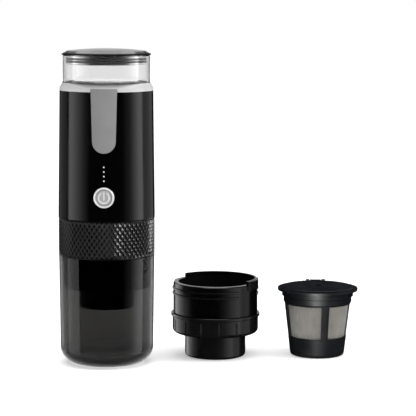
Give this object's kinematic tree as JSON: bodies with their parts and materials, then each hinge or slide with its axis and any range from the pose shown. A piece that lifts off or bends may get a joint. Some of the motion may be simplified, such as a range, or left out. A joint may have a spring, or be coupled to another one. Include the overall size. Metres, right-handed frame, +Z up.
{
  "type": "portable capsule coffee maker",
  "caption": "Cordless travel coffee maker with clear water tank, knurled ring, capsule holder and smoky cup, standing beside its pod adapter and refillable mesh basket.",
  "frame": {"origin": "centre of the cup's flat base, on the machine's axis", "axes": "+Z up along the machine's axis; -Y is the front with the button and the level window; +X points to the accessories on the right"},
  "size_m": [0.1889, 0.0826, 0.1958],
  "materials": {
    "gloss_black": "polished black moulding",
    "satin_black": "satin black moulding",
    "grip_black": "diamond knurled, satin",
    "clear_tank": "clear moulded plastic",
    "frosted_window": "frosted clear plastic",
    "smoky_cup": "smoky see-through plastic",
    "bright_ring": "bright plated ring",
    "button_grey": "silver grey lacquer",
    "mark_light": "light raised symbol",
    "light_pipe": "clear light guide",
    "silicone_dark": "dark silicone",
    "silicone_pale": "pale silicone",
    "steel": "plain stainless steel",
    "inner_plastic": "plain grey moulding",
    "pump_plastic": "off-white moulding",
    "hose_rubber": "soft pale hose",
    "cell_wrap": "plain blue shrink wrap",
    "board": "green solder mask",
    "parts_black": "moulded component cases",
    "led": "small light cases",
    "stem_red": "switch stem",
    "basket_plastic": "blue-black satin moulding",
    "mesh_steel": "fine woven steel mesh"
  },
  "bodies": {
    "cup": {"cup": "smoky_cup"},
    "machine": {"grip_ring": "grip_black", "brew_pan": "inner_plastic", "brew_gasket": "silicone_pale", "piercing_needle": "steel", "chassis": "inner_plastic", "pump_pad": "silicone_dark", "pump_head": "pump_plastic", "pump_motor": "steel", "inlet_hose": "hose_rubber", "outlet_hose": "hose_rubber", "battery_cells": "cell_wrap", "cell_tabs": "steel", "control_board": "board", "board_parts": "parts_black", "status_leds": "led", "light_guide": "light_pipe", "tact_switch": "parts_black", "button_bezel": "bright_ring", "charge_board": "board", "charge_socket": "steel", "body_shell": "gloss_black", "water_tank": "clear_tank", "level_window": "frosted_window", "tank_strainer": "steel", "board_screws": "steel", "ring_screws": "steel", "tie_screws": "steel"},
    "lid": {"lid_cap": "gloss_black", "lid_plug": "satin_black", "lid_seals": "silicone_dark"},
    "button": {"button_cap": "button_grey", "button_mark": "mark_light", "switch_stem": "stem_red"},
    "holder": {"capsule_holder": "gloss_black", "capsule_seat": "inner_plastic", "exit_spikes": "steel"},
    "adapter": {"adapter": "gloss_black"},
    "basket": {"basket_frame": "basket_plastic", "basket_mesh": "mesh_steel", "basket_pin": "steel"},
    "basket_lid": {"basket_lid": "basket_plastic", "basket_gasket": "silicone_pale"}
  },
  "joints": [
    {"name": "machine_lift", "type": "slide", "parent": "cup", "child": "machine", "axis": [0, 0, 1], "range_m": [0, 0.06]},
    {"name": "lid_lift", "type": "slide", "parent": "machine", "child": "lid", "axis": [0, 0, 1], "range_m": [0, 0.03]},
    {"name": "button_press", "type": "slide", "parent": "machine", "child": "button", "axis": [0, 1, 0], "range_m": [0, 0.0006], "stiffness_N_per_m": 1500},
    {"name": "holder_twist", "type": "hinge", "parent": "machine", "child": "holder", "pos_m": [0, 0, 0.0682], "axis": [0, 0, -1], "range_deg": [0, 45]},
    {"name": "adapter_lift", "type": "slide", "parent": "cup", "child": "adapter", "axis": [0, 0, 1], "range_m": [0, 0.05]},
    {"name": "basket_lift", "type": "slide", "parent": "cup", "child": "basket", "axis": [0, 0, 1], "range_m": [0, 0.05]},
    {"name": "basket_lid_hinge", "type": "hinge", "parent": "basket", "child": "basket_lid", "pos_m": [0.1334, 0.051, 0.0431], "axis": [-1, 0, 0], "range_deg": [0, 115]}
  ]
}
